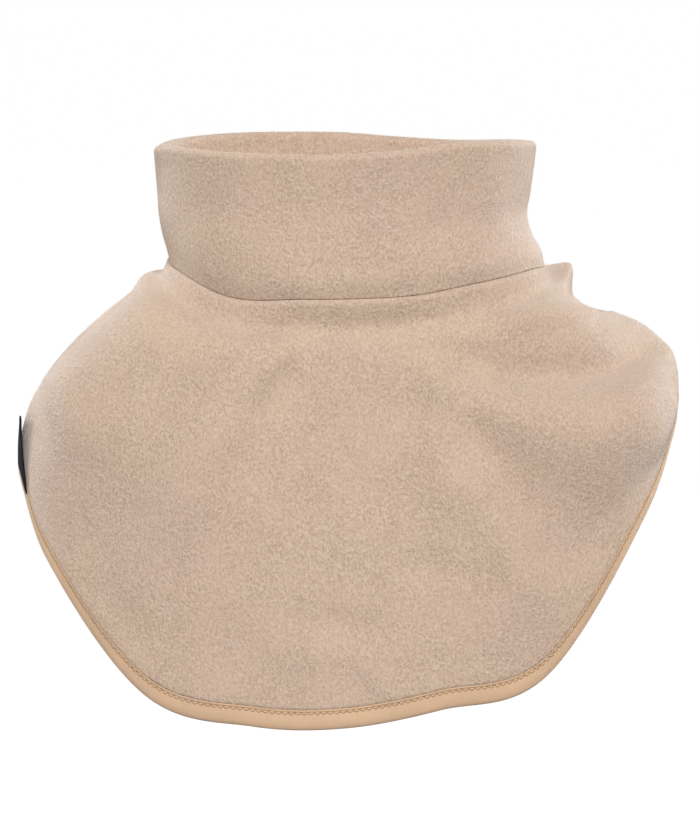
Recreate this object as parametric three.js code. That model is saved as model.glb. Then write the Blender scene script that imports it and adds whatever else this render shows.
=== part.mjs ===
// A child's fleece neck warmer in the form it has when it is worn: a doubled stand-up collar,
// a yoke that falls over the shoulders into a front and a back bib, a bound hem and a side tab.
// Millimetres, +Z up, the wearer looks along -Y. The origin is the middle of the neck opening,
// level with the collar seam at the sides. Angles run from the front towards +X, in degrees.
import * as THREE from "three";

// Driving dimensions
const FLEECE = 2.1; // one layer of fleece
const PRESSED_FLEECE = 1.4; // the yoke's edge where the collar's two layers hold it
const GAP = 0.3; // between pieces that touch
const TAPE = 0.8; // the binding's tape
const BINDING_WIDTH = 9.5;
const HEM_GAP = 0.5; // between the fleece and the binding's upper edge
const NECK_HALF_WIDTH = 92.5;
const NECK_HALF_DEPTH = 69;
const NECK_CENTRE_X = 5;
const SQUARENESS = 2.45; // 2 is an ellipse, more is a fuller oval
const TURN_UP = 0.12; // the yoke's edge inside the collar, as a share of the collar's height
const INNER_LAYER_DROP = 2; // the collar's inner layer ends this far under the seam
const ANGLE_STEPS = 80;

// The yoke's run from neck to hem at angles from the front round by +X, and the rim above it.
// Falls are the cloth's slope below level, in degrees, at the neck, on the shoulder and at the hem.
const SECTIONS = table(
  "angle rimZ neckZ neckFall shoulderR shoulderZ shoulderFall hemR hemZ hemFall",
  [
    [0, 58.5, -10.0, 80, 82.5, -72.0, 77, 111.0, -209.0, 79],
    [22.5, 60.5, -8.5, 76, 89.5, -70.0, 76, 117.0, -201.0, 80],
    [45, 63.5, -3.5, 60, 115.0, -58.0, 70, 135.0, -188.0, 84],
    [67.5, 62.5, 0.0, 52, 146.0, -44.0, 46, 157.5, -115.5, 88],
    [78.75, 61.2, -1.0, 56, 153.0, -40.0, 42, 162.0, -88.0, 91],
    [90, 59.5, -2.0, 58, 155.5, -37.0, 40, 163.5, -80.0, 94],
    [112.5, 57.5, 2.0, 50, 141.0, -42.0, 50, 154.0, -116.0, 90],
    [135, 55.5, 3.0, 48, 117.0, -56.0, 66, 129.0, -165.0, 87],
    [157.5, 56.5, 3.0, 52, 99.0, -68.0, 76, 112.0, -186.0, 87],
    [180, 58.5, 3.0, 54, 93.0, -70.0, 78, 105.0, -190.0, 87],
    [202.5, 59.0, 3.0, 52, 99.0, -70.0, 76, 112.0, -188.0, 87],
    [225, 59.0, 2.5, 46, 118.0, -64.0, 66, 130.0, -172.0, 87],
    [247.5, 58.0, 1.5, 43, 144.0, -60.0, 54, 154.0, -128.0, 88],
    [270, 57.0, 1.5, 50, 154.5, -60.0, 53, 163.5, -104.0, 90],
    [281.25, 58.8, 0.0, 48, 151.0, -60.5, 55, 162.5, -110.5, 89],
    [292.5, 60.0, -2.0, 46, 143.5, -61.0, 58, 158.0, -138.5, 88],
    [315, 59.0, -11.0, 55, 117.5, -68.0, 71, 136.0, -197.5, 84],
    [337.5, 58.5, -10.5, 76, 89.5, -72.0, 76, 117.0, -209.0, 80],
  ],
);

// Folds of the yoke: each runs from its angle at the neck to its angle at the hem, and is there
// between start and end, as shares of the way down, growing and fading over its ease. A height
// under 0 is a valley.
const FOLDS = table("neckAngle hemAngle halfWidth start end ease height", [
  [24, 32, 6, 0.04, 0.65, 0.2, 4.5],
  [5, 48, 3.5, 0.4, 0.95, 0.2, 2.2],
  [-11, 62, 9, 0.15, 0.95, 0.2, -7],
  [-9, 79, 10, 0.1, 0.95, 0.2, 6.5],
  [-11, 103, 8.5, 0.05, 0.7, 0.25, -8.5],
  [16, 125, 8, 0.04, 0.42, 0.15, 6.5],
  [84, 108, 8, 0.15, 0.6, 0.25, -2],
  [88, 98, 12, 0.1, 0.38, 0.1, -8],
  [94, 104, 14, 0.01, 0.25, 0.11, 10],
  [150, 140, 12, 0.2, 1.1, 0.25, 3.5],
  [172, 165, 10, 0.25, 1.1, 0.25, -3],
  [195, 200, 10, 0.3, 1.1, 0.25, 3],
  [222, 228, 11, 0.2, 1.1, 0.25, -3.5],
  [262, 255, 9, 0.05, 1.05, 0.25, 2],
  [272, 268, 24, 0, 0.22, 0.1, 3.5],
  [280, 268, 7, 0.15, 1, 0.25, -2.5],
  [-58, -76, 14, 0.02, 0.7, 0.2, 6],
  [-14, -50, 10, 0.05, 0.95, 0.2, -6],
  [-11, -54, 6, 0.04, 0.9, 0.15, 5],
]);

// Small rolls that follow the collar seam round: the lip under it and the dip under the lip. They
// grow from nothing at the seam over a share of the way down.
const ROLLS_EASE = 0.012;
const SEAM_ROLLS = table("middle halfWidth height", [
  [0.006, 0.013, 1.0],
  [0.066, 0.032, -3.6],
]);

// The collar's outer face, from the seam at level 0 to the rim at level 1.
const COLLAR_RINGS = table("level halfWidth halfDepth centreX centreY", [
  [0, NECK_HALF_WIDTH, NECK_HALF_DEPTH, NECK_CENTRE_X, 0],
  [0.12, 92.6, 70.5, 3.5, 0],
  [0.25, 91.4, 70.2, 0.2, 0],
  [0.42, 90.9, 69.5, -2, 0],
  [0.7, 92.6, 69, -1, 0.5],
  [1, 94.3, 68.5, -1, 0.5],
]);

// The black tab: a strip caught above the binding, whose top end stands free of the fleece.
const TAB_FRONT_ANGLE = 285.5;
const TAB_REAR_ANGLE = 278.5;
const TAB_TOP_FRONT = new THREE.Vector3(-159.6, -31, -72.5);
const TAB_TOP_REAR = new THREE.Vector3(-161, -14, -77.5);
const TAB_THICKNESS = 1.2;
const TAB_BOW = 0.4; // how far its middle bulges outward

// Rows of each mesh, as shares of its own way down or up
const YOKE_TOP_ROWS = [0, 0.015, 0.03, 0.05, 0.075, 0.105, 0.15, 0.2, 0.26, 0.34];
const YOKE_LOWER_ROWS = [0.44, 0.56, 0.7, 0.85, 1];
const YOKE_INNER_ROWS = [0.03, 0.055, 0.085, 0.15, 0.28, 0.48, 0.75];
const HEM_ROWS = [1, 0.67, 0.33, 0];
const BINDING_ROWS = [1, 0.67, 0.33];
const COLLAR_OUTER_ROWS = [0.04, 0.12, 0.25, 0.42, 0.6, 0.78];
const COLLAR_INNER_ROWS = [0.78, 0.45, 0.12];
const RIM_STEPS = 5;
const TAB_ROWS = 6;
const TAB_COLUMNS = 3;

const COLLAR_THICKNESS = 2 * FLEECE + 2 * GAP + PRESSED_FLEECE;
const UP = new THREE.Vector3(0, 0, 1);

// Rows of numbers as objects with the named columns.
function table(columns, rows) {
  const names = columns.split(" ");
  return rows.map((row) => Object.fromEntries(names.map((name, i) => [name, row[i]])));
}

const radians = THREE.MathUtils.degToRad;
const bell = (x) => Math.exp(-x * x);
const smooth = (x) => THREE.MathUtils.smoothstep(x, 0, 1);

// The cubic from a to b whose slopes there are slopeA and slopeB.
function cubic(s, a, slopeA, b, slopeB) {
  const rise = s * s * (3 - 2 * s);
  const early = s * (1 - s) * (1 - s);
  const late = s * s * (1 - s);
  return a + (b - a) * rise + slopeA * early - slopeB * late;
}

function cubicPoint(s, a, slopeA, b, slopeB) {
  const along = (axis) => cubic(s, a[axis], slopeA[axis], b[axis], slopeB[axis]);
  return new THREE.Vector3(along("x"), along("y"), along("z"));
}

// A column of SECTIONS at any angle, smooth all the way round.
function around(column, angle) {
  const turned = THREE.MathUtils.euclideanModulo(angle, 360);
  const first = SECTIONS.findLastIndex((section) => section.angle <= turned);
  const [before, here, next, after] = [-1, 0, 1, 2].map((k) => sectionBeside(first + k));
  const span = next.angle - here.angle;
  const slopeA = (span * (next[column] - before[column])) / (next.angle - before.angle);
  const slopeB = (span * (after[column] - here[column])) / (after.angle - here.angle);
  return cubic((turned - here.angle) / span, here[column], slopeA, next[column], slopeB);
}

// The section at a place in the table that may run past its ends, with its angle counted on.
function sectionBeside(place) {
  const turns = Math.floor(place / SECTIONS.length);
  const section = SECTIONS[place - turns * SECTIONS.length];
  return { ...section, angle: section.angle + 360 * turns };
}

function outward(angle) {
  return new THREE.Vector3(Math.sin(radians(angle)), -Math.cos(radians(angle)), 0);
}

// The unit vector that goes outward and falls below level by an angle.
function falling(angle, fall) {
  return outward(angle).multiplyScalar(Math.cos(radians(fall))).setZ(-Math.sin(radians(fall)));
}

function ovalRadius(angle, halfWidth, halfDepth) {
  const across = Math.abs(Math.sin(radians(angle)) / halfWidth) ** SQUARENESS;
  const deep = Math.abs(Math.cos(radians(angle)) / halfDepth) ** SQUARENESS;
  return (across + deep) ** (-1 / SQUARENESS);
}

// A column of COLLAR_RINGS at any level.
function ringValue(column, level) {
  const next = COLLAR_RINGS.findIndex((ring) => ring.level >= level);
  const upper = COLLAR_RINGS[Math.max(next, 1)];
  const lower = COLLAR_RINGS[Math.max(next, 1) - 1];
  return THREE.MathUtils.mapLinear(level, lower.level, upper.level, lower[column], upper[column]);
}

// A point on the collar's outer face.
function collarFace(angle, level) {
  const inRange = THREE.MathUtils.clamp(level, 0, 1);
  const radius = ovalRadius(angle, ringValue("halfWidth", inRange), ringValue("halfDepth", inRange));
  const point = outward(angle).multiplyScalar(radius);
  point.x += ringValue("centreX", inRange);
  point.y += ringValue("centreY", inRange);
  point.z = THREE.MathUtils.lerp(around("neckZ", angle), around("rimZ", angle), level);
  return point;
}

// A point of the collar at a depth under its outer face, measured level.
function collarPoint(angle, level, depth) {
  const step = 0.5;
  const tangent = collarFace(angle + step, level).sub(collarFace(angle - step, level)).setZ(0).normalize();
  const inward = new THREE.Vector3().crossVectors(UP, tangent);
  return collarFace(angle, level).addScaledVector(inward, depth);
}

function collarHeight(angle) {
  return around("rimZ", angle) - around("neckZ", angle);
}

// The neck, shoulder and hem points of the yoke at an angle, and the spans between them.
function yokeRun(angle) {
  const neck = collarFace(angle, 0);
  const shoulder = outward(angle).multiplyScalar(around("shoulderR", angle)).setZ(around("shoulderZ", angle));
  const hem = outward(angle).multiplyScalar(around("hemR", angle)).setZ(around("hemZ", angle));
  return { neck, shoulder, hem, upper: neck.distanceTo(shoulder), lower: shoulder.distanceTo(hem) };
}

// The yoke's outer face without its folds: two cubics, neck to shoulder and shoulder to hem.
function smoothYoke(angle, share) {
  const { neck, shoulder, hem, upper, lower } = yokeRun(angle);
  const way = share * (upper + lower);
  const onShoulder = falling(angle, around("shoulderFall", angle));
  if (way < upper) {
    const start = falling(angle, around("neckFall", angle)).multiplyScalar(upper);
    return cubicPoint(way / upper, neck, start, shoulder, onShoulder.multiplyScalar(upper));
  }
  const end = falling(angle, around("hemFall", angle)).multiplyScalar(lower);
  return cubicPoint((way - upper) / lower, shoulder, onShoulder.multiplyScalar(lower), hem, end);
}

function foldHeight(angle, share) {
  const way = Math.sqrt(THREE.MathUtils.clamp(share, 0, 1));
  return FOLDS.reduce((height, fold) => {
    const middle = THREE.MathUtils.lerp(fold.neckAngle, fold.hemAngle, way);
    const aside = THREE.MathUtils.euclideanModulo(angle - middle + 180, 360) - 180;
    const grown = smooth((share - fold.start) / fold.ease) * smooth((fold.end - share) / fold.ease);
    return height + fold.height * bell(aside / fold.halfWidth) * grown;
  }, 0);
}

function seamRollHeight(share) {
  const heights = SEAM_ROLLS.map((roll) => roll.height * bell((share - roll.middle) / roll.halfWidth));
  return smooth(share / ROLLS_EASE) * heights.reduce((total, height) => total + height, 0);
}

// The unit normal, away from the body, of a surface given as a function of angle and share down.
function surfaceNormal(surface, angle, share) {
  const turn = 0.25;
  const drop = 0.004;
  const sideways = surface(angle + turn, share).sub(surface(angle - turn, share));
  const down = surface(angle, share + drop).sub(surface(angle, share - drop));
  return down.cross(sideways).normalize();
}

// The yoke's folded outer face, with or without the small rolls at the seam.
function foldedYoke(angle, share, rolls = 0) {
  const height = foldHeight(angle, share) + rolls * seamRollHeight(share);
  return smoothYoke(angle, share).addScaledVector(surfaceNormal(smoothYoke, angle, share), height);
}

function yokePoint(angle, share, depth, rolls = 0) {
  return foldedYoke(angle, share, rolls).addScaledVector(surfaceNormal(foldedYoke, angle, share), -depth);
}

// The share down the yoke of a place a few millimetres above the hem.
function shareAboveHem(angle, distance) {
  const { upper, lower } = yokeRun(angle);
  return 1 - distance / (upper + lower);
}

// A closed mesh from one closed section at each angle. Sections go down the outside and up the inside.
function loopMesh(name, sectionAt, material) {
  const sections = Array.from({ length: ANGLE_STEPS }, (_, i) => sectionAt((360 * i) / ANGLE_STEPS));
  const size = sections[0].length;
  const index = [];
  for (let i = 0; i < ANGLE_STEPS; i++) {
    const here = i * size;
    const next = ((i + 1) % ANGLE_STEPS) * size;
    for (let j = 0; j < size; j++) {
      const k = (j + 1) % size;
      index.push(here + j, here + k, next + k, here + j, next + k, next + j);
    }
  }
  return meshOf(name, sections.flat(), index, material);
}

function meshOf(name, points, index, material) {
  const geometry = new THREE.BufferGeometry().setFromPoints(points);
  geometry.setIndex(index);
  geometry.computeVertexNormals();
  const mesh = new THREE.Mesh(geometry, material);
  mesh.name = name;
  return mesh;
}

// A strip of cloth folded over at the rim: two layers with the yoke's edge between them at the seam.
function collarSection(angle) {
  const height = collarHeight(angle);
  const rimRadius = COLLAR_THICKNESS / 2;
  const at = (z, depth) => collarPoint(angle, z / height, depth);
  const rim = Array.from({ length: RIM_STEPS + 1 }, (_, i) => {
    const turn = (Math.PI * i) / RIM_STEPS;
    return at(height - rimRadius + rimRadius * Math.sin(turn), rimRadius * (1 + Math.cos(turn)));
  });
  const foldInside = height - rimRadius - PRESSED_FLEECE / 2;
  const outerLayerInside = FLEECE;
  const innerLayerOutside = COLLAR_THICKNESS - FLEECE;
  const up = COLLAR_INNER_ROWS.toReversed().map((level) => at(level * height, COLLAR_THICKNESS));
  const down = COLLAR_OUTER_ROWS.toReversed().map((level) => at(level * height, 0));
  return [
    ...rim,
    ...down,
    at(GAP, FLEECE / 4),
    at(GAP, outerLayerInside),
    at(TURN_UP * height, outerLayerInside),
    at(foldInside, outerLayerInside),
    at(foldInside, innerLayerOutside),
    at(TURN_UP * height, innerLayerOutside),
    at(-INNER_LAYER_DROP, innerLayerOutside),
    at(-INNER_LAYER_DROP, COLLAR_THICKNESS),
    ...up,
  ];
}

// One layer of fleece whose upper edge turns up into the collar and whose lower edge is pressed
// thinner inside the binding.
function yokeSection(angle) {
  const hemTop = BINDING_WIDTH + HEM_GAP;
  const topShare = shareAboveHem(angle, hemTop);
  const flangeOutside = FLEECE + GAP;
  const flangeInside = flangeOutside + PRESSED_FLEECE;
  const outerRows = [...YOKE_TOP_ROWS, ...YOKE_LOWER_ROWS];
  const outside = outerRows.map((row) => yokePoint(angle, row * topShare, 0, 1));
  const inside = YOKE_INNER_ROWS.map((row) => yokePoint(angle, row * topShare, FLEECE, 1));
  const edge = TAPE + GAP;
  const hemPlace = (row) => shareAboveHem(angle, THREE.MathUtils.lerp(edge, hemTop, row));
  const hemOutside = HEM_ROWS.map((row) => yokePoint(angle, hemPlace(row), edge));
  const hemInside = HEM_ROWS.map((row) => yokePoint(angle, hemPlace(row), FLEECE));
  const flangeTop = TURN_UP - GAP / collarHeight(angle);
  const flangeFoot = -FLEECE / collarHeight(angle);
  return [
    ...outside,
    ...hemOutside,
    ...hemInside.toReversed(),
    ...inside.toReversed(),
    collarPoint(angle, flangeFoot, flangeInside),
    collarPoint(angle, flangeTop, flangeInside),
    collarPoint(angle, flangeTop, flangeOutside),
    collarPoint(angle, 0, flangeOutside),
  ];
}

// Tape folded round the yoke's lower edge.
function bindingSection(angle) {
  const insideDepth = FLEECE + GAP;
  const thickness = insideDepth + TAPE;
  const innerLeg = BINDING_WIDTH - TAPE;
  const at = (distance, depth) => yokePoint(angle, shareAboveHem(angle, distance), depth);
  const outerLeg = (depth) => BINDING_ROWS.map((row) => at(row * BINDING_WIDTH, depth));
  return [
    ...outerLeg(0),
    at(TAPE, 0),
    at(0, TAPE),
    at(0, thickness - TAPE),
    at(TAPE, thickness),
    at(innerLeg / 2, thickness),
    at(innerLeg, thickness),
    at(innerLeg, insideDepth),
    at(innerLeg / 2, insideDepth),
    at(TAPE, insideDepth),
    at(TAPE, TAPE),
    ...outerLeg(TAPE).toReversed(),
  ];
}

// A point of the tab's outer or inner side, across from its front edge and up from its foot.
function tabPoint(across, up, outerSide) {
  const angle = THREE.MathUtils.lerp(TAB_FRONT_ANGLE, TAB_REAR_ANGLE, across);
  const share = shareAboveHem(angle, BINDING_WIDTH + HEM_GAP);
  const foot = yokePoint(angle, share, -HEM_GAP);
  const top = TAB_TOP_FRONT.clone().lerp(TAB_TOP_REAR, across);
  const away = TAB_BOW * Math.sin(Math.PI * up) + (outerSide ? TAB_THICKNESS : 0);
  return foot.lerp(top, up).addScaledVector(outward(angle), away);
}

function makeTab() {
  const side = (outerSide) => {
    const points = [];
    for (let row = 0; row <= TAB_ROWS; row++)
      for (let column = 0; column <= TAB_COLUMNS; column++)
        points.push(tabPoint(column / TAB_COLUMNS, row / TAB_ROWS, outerSide));
    return points;
  };
  const width = TAB_COLUMNS + 1;
  const inner = width * (TAB_ROWS + 1);
  const index = [];
  const quad = (a, b, c, d) => index.push(a, b, c, a, c, d);
  for (let row = 0; row < TAB_ROWS; row++)
    for (let column = 0; column < TAB_COLUMNS; column++) {
      const corner = row * width + column;
      quad(corner, corner + width, corner + width + 1, corner + 1);
      quad(inner + corner, inner + corner + 1, inner + corner + width + 1, inner + corner + width);
    }
  for (let column = 0; column < TAB_COLUMNS; column++) {
    const top = TAB_ROWS * width + column;
    quad(column, column + 1, inner + column + 1, inner + column);
    quad(top + 1, top, inner + top, inner + top + 1);
  }
  for (let row = 0; row < TAB_ROWS; row++) {
    const front = row * width;
    const rear = front + TAB_COLUMNS;
    quad(front + width, front, inner + front, inner + front + width);
    quad(rear, rear + width, inner + rear + width, inner + rear);
  }
  return meshOf("side_tab", [...side(true), ...side(false)], index, tabMaterial);
}

const fleeceMaterial = new THREE.MeshStandardMaterial({ color: 0xd2b9a4, roughness: 0.95, metalness: 0 });
const bindingMaterial = new THREE.MeshStandardMaterial({ color: 0xd0b193, roughness: 0.6, metalness: 0 });
const tabMaterial = new THREE.MeshStandardMaterial({ color: 0x14161a, roughness: 0.5, metalness: 0 });

const neckWarmer = new THREE.Group();
neckWarmer.add(
  loopMesh("collar", collarSection, fleeceMaterial),
  loopMesh("yoke", yokeSection, fleeceMaterial),
  loopMesh("hem_binding", bindingSection, bindingMaterial),
  makeTab(),
);

export default neckWarmer;
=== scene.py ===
"""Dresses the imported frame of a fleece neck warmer: the cloth, the hem tape, its stitches and the tab.

Shapes are worked out in millimetres in the frame of the part: +Z up, the wearer looks along -Y, and angles
run from the front towards +X, in degrees. Meshes are in metres.
"""

import math

import bpy
import numpy as np
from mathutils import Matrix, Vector


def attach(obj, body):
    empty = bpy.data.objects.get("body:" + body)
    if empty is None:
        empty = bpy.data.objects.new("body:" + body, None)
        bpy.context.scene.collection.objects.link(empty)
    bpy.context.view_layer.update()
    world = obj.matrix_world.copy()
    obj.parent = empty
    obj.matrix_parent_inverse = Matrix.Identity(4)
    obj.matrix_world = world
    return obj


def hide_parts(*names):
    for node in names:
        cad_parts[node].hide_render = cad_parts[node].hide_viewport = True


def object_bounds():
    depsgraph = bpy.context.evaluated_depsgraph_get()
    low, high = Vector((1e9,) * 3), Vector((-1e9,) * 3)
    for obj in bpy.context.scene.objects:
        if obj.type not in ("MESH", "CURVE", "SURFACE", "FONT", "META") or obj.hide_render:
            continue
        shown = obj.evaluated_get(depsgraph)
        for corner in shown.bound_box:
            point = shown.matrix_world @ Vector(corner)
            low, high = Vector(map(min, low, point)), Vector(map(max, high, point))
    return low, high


bl_info = {
    "name": "Fleece neck warmer",
    "version": (1, 0, 0),
    "blender": (4, 5, 0),
    "location": "3D View > Sidebar > Neck warmer",
    "description": "Makes the cloth, hem tape, stitches and tab of a neck warmer round its packed frame",
    "category": "Object",
}

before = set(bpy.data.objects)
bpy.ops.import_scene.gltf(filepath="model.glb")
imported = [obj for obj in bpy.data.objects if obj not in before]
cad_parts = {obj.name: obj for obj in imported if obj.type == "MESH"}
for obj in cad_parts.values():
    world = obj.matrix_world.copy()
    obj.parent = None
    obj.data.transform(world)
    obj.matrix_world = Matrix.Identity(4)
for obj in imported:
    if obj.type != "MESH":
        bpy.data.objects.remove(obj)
CAD_BOX = [list(corner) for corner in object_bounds()]

MM = 0.001


def table(columns, rows):
    """The columns of a table of numbers, as arrays by name."""
    return dict(zip(columns.split(), np.array(rows, float).T))


# The yoke's run from neck to hem at angles from the front round by +X, and the rim above it
SECTIONS = table(
    "angle rim_z neck_z neck_fall shoulder_r shoulder_z shoulder_fall hem_r hem_z hem_fall",
    [
        (0, 58.5, -10.0, 80, 82.5, -72.0, 77, 111.0, -209.0, 79),
        (22.5, 60.5, -8.5, 76, 89.5, -70.0, 76, 117.0, -201.0, 80),
        (45, 63.5, -3.5, 60, 115.0, -58.0, 70, 135.0, -188.0, 84),
        (67.5, 62.5, 0.0, 52, 146.0, -44.0, 46, 157.5, -115.5, 88),
        (78.75, 61.2, -1.0, 56, 153.0, -40.0, 42, 162.0, -88.0, 91),
        (90, 59.5, -2.0, 58, 155.5, -37.0, 40, 163.5, -80.0, 94),
        (112.5, 57.5, 2.0, 50, 141.0, -42.0, 50, 154.0, -116.0, 90),
        (135, 55.5, 3.0, 48, 117.0, -56.0, 66, 129.0, -165.0, 87),
        (157.5, 56.5, 3.0, 52, 99.0, -68.0, 76, 112.0, -186.0, 87),
        (180, 58.5, 3.0, 54, 93.0, -70.0, 78, 105.0, -190.0, 87),
        (202.5, 59.0, 3.0, 52, 99.0, -70.0, 76, 112.0, -188.0, 87),
        (225, 59.0, 2.5, 46, 118.0, -64.0, 66, 130.0, -172.0, 87),
        (247.5, 58.0, 1.5, 43, 144.0, -60.0, 54, 154.0, -128.0, 88),
        (270, 57.0, 1.5, 50, 154.5, -60.0, 53, 163.5, -104.0, 90),
        (281.25, 58.8, 0.0, 48, 151.0, -60.5, 55, 162.5, -110.5, 89),
        (292.5, 60.0, -2.0, 46, 143.5, -61.0, 58, 158.0, -138.5, 88),
        (315, 59.0, -11.0, 55, 117.5, -68.0, 71, 136.0, -197.5, 84),
        (337.5, 58.5, -10.5, 76, 89.5, -72.0, 76, 117.0, -209.0, 80),
    ],
)

# Folds of the yoke from an angle at the neck to one at the hem, there between shares of the way down
FOLDS = table(
    "neck_angle hem_angle half_width start end ease height",
    [
        (24, 32, 6, 0.04, 0.65, 0.2, 4.5),
        (5, 48, 4, 0.35, 0.95, 0.2, 3.4),
        (-8, 64, 9, 0.15, 0.95, 0.2, -5.2),
        (-7, 80, 10, 0.17, 0.95, 0.2, 6.5),
        (-11, 106, 8.5, 0.05, 0.7, 0.25, -10.5),
        (16, 125, 8, 0.04, 0.42, 0.15, 6.5),
        (84, 108, 8, 0.15, 0.6, 0.25, -2),
        (88, 98, 12, 0.1, 0.38, 0.1, -8),
        (94, 104, 14, 0.01, 0.25, 0.11, 10),
        (150, 140, 12, 0.2, 1.1, 0.25, 3.5),
        (172, 165, 10, 0.25, 1.1, 0.25, -3),
        (195, 200, 10, 0.3, 1.1, 0.25, 3),
        (222, 228, 11, 0.2, 1.1, 0.25, -3.5),
        (262, 255, 9, 0.05, 1.05, 0.25, 2),
        (272, 268, 24, 0, 0.22, 0.1, 3.5),
        (280, 268, 7, 0.15, 1, 0.25, -2.5),
        (-58, -76, 14, 0.02, 0.7, 0.2, 6),
        (-20, -56, 12, 0.08, 0.95, 0.2, -6),
        (-11, -54, 6, 0.04, 0.9, 0.15, 5),
    ],
)

# Small rolls of the yoke that follow the collar seam round, which grow from nothing at the seam
ROLLS_EASE = 0.012
SEAM_ROLLS = table("middle half_width height", [(0.006, 0.013, 1.0), (0.066, 0.032, -3.6)])

# The collar's outer face, from the seam at level 0 to the rim at level 1
COLLAR_RINGS = table(
    "level half_width half_depth centre_x centre_y",
    [
        (0, 92.5, 69, 5, 0),
        (0.12, 92.6, 70.5, 3.5, 0),
        (0.25, 91.4, 69.5, 0.2, 0),
        (0.42, 90.9, 67.9, -2, 0),
        (0.6, 92, 67.3, -1.4, 0.3),
        (0.8, 93.2, 67.7, -1, 0.5),
        (1, 94.3, 68.7, -1, 0.5),
    ],
)

# Soft dents and swellings of the collar: where they are, how far they reach each way, how they lean
COLLAR_DENTS = table(
    "angle level half_angle half_level lean height",
    [
        (38, 0.45, 8, 0.35, 11, -0.9),
        (54, 0.5, 10, 0.5, 6, 0.4),
        (346, 0.62, 12, 0.22, 0, -0.5),
        (20, 0.25, 30, 0.12, 0, 0.5),
        (318, 0.35, 16, 0.3, -10, 0.6),
        (300, 0.5, 8, 0.6, 6, -0.6),
    ],
)

# Soft dents and swellings of the yoke, by angle and share of the way down
YOKE_DENTS = table(
    "angle share half_angle half_share lean height",
    [
        (358, 0.76, 8, 0.045, 3, -2.2),
        (350, 0.83, 9, 0.045, 0, 1.4),
        (8, 0.9, 3.5, 0.07, 5, 2.0),
        (332, 0.8, 6, 0.08, 0, -2.0),
        (24, 0.66, 7, 0.05, 4, -1.5),
        (352, 0.5, 16, 0.2, 0, 0.8),
        (312, 0.16, 18, 0.1, 0, 4.5),
        (310, 0.6, 16, 0.18, 0, -2.5),
        (60, 0.2, 12, 0.06, 9, -2.5),
        (73, 0.3, 10, 0.06, 8, -3.5),
    ],
)

FLEECE = 2.1  # one layer of cloth
PRESSED_FLEECE = 1.4  # the yoke's edge between the collar's layers
GAP = 0.3  # between layers that are sewn together on the real thing
SQUARENESS = 2.45  # power of the collar's rounded oval, 2 being an ellipse
TURN_UP = 0.12  # level up to which the yoke's edge stands between the collar's layers
INNER_LAYER_DROP = 2  # how far the collar's inner layer hangs below the seam
COLLAR_THICKNESS = 2 * FLEECE + 2 * GAP + PRESSED_FLEECE
HEM_GAP = 0.5  # between the tape's upper edge and the cloth or tab above it
TAPE = 0.8  # one layer of the binding
BINDING_WIDTH = 9.5
COLLAR_COLUMNS = 480  # sections round each piece of cloth
YOKE_COLUMNS = 640

# The rounded foot of the collar's outer layer, above the seam and under the outer face
COLLAR_FOOT = table("height depth", [(1.2, 0), (0.6, 0.02), (0.28, 0.12), (0.15, 0.5)])

# The collar's own join at the back, a groove between two soft welts
BACK_SEAM_ANGLE = 200
BACK_SEAM_RADIUS = 80
GROOVE_DEPTH, GROOVE_HALF_WIDTH = 1.1, 0.9
WELT_HEIGHT, WELT_DISTANCE = 0.7, 4

SKIN = 1.2  # depth within which the collar's points follow its join, dents and lumps
FOOT_FADE = 4  # height above the seam over which those grow
COLLAR_INNER_DENT_SHARE = 0.3  # how much of a dent shows on the inner face

# The yoke swells a little above the binding, and is pressed down at the last of its outer rows
SWELL_HEIGHT, SWELL_ROW, SWELL_HALF_WIDTH = 0.2, 0.98, 0.02
TUCK_DEPTH = 0.45

# The height and size of the slight lumps that all of the cloth has
COLLAR_LUMP_HEIGHT, COLLAR_LUMP_SIZE = 0.35, 22
YOKE_LUMP_HEIGHT, YOKE_LUMP_SIZE = 0.45, 26

# The tape's cross-section, closed: distance up from the hem, and depth under the yoke's outer face
TAPE_SECTION = np.array(
    [
        (9.55, 0.6), (9.7, 0.3), (9.64, 0.02), (9.42, -0.16), (9.1, -0.22), (8.85, -0.16),
        (8.68, 0.0), (8.52, 0.28), (8.36, 0.28), (8.2, 0.02), (7.9, -0.02), (6.9, -0.16),
        (5.0, -0.34), (4.0, -0.36), (3.0, -0.3), (2.0, -0.14), (1.2, 0.14), (0.6, 0.5),
        (0.2, 1.0), (0.0, 1.6), (0.2, 2.2), (0.6, 2.7), (1.3, 3.05), (4.3, 3.25),
        (8.2, 3.2), (8.65, 3.0), (8.65, 2.6), (8.3, 2.42), (4.3, 2.4), (1.2, 2.35),
        (0.9, 1.6), (1.2, 0.8), (4.3, 0.8), (7.5, 0.8), (9.2, 0.8),
    ]
)
OUTER_TAPE_DEPTH = 0.3  # the tape's outer face lies above this depth
RIB = 0.5  # width of one rib woven along the tape
STITCH_TOP = 8.4  # distances of the zigzag's points from the hem
STITCH_FOOT = 7.2
STITCH_STEPS = 6  # sections of the tape to one zigzag
STITCH_ARCH = 0.3  # how far a thread arches off the tape
NEEDLE_DEPTH = 0.05  # where a thread's middle line starts and ends, under the cloth's face
DIMPLE_DEPTH, DIMPLE_HALF_LENGTH, DIMPLE_HALF_HEIGHT = 0.42, 0.5, 0.45

TAB_FRONT_ANGLE = 285.5
TAB_REAR_ANGLE = 278.5
TAB_TOP_FRONT = np.array((-159.6, -31, -72.5))
TAB_TOP_REAR = np.array((-161, -14, -77.5))
TAB_WIDTH, TAB_HEIGHT = 17, 30  # the size of the tab's weave map
TAB_THICKNESS = 1.2
TAB_BOW = 0.4

TAPE_MAP = "tape"
TAPE_MAP_STEP = 0.5  # about the distance between two sections of the tape

# Tones of the fleece, as factors of its colour: a yellower and a pinker one that drift at random, and painted
# shade for the gaps between pills
YELLOWER = (1.01, 1.01, 0.97)
PINKER = (0.99, 0.968, 0.995)
PILL_GAP_PAINTED_SHADE = (0.74, 0.69, 0.64)

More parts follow.
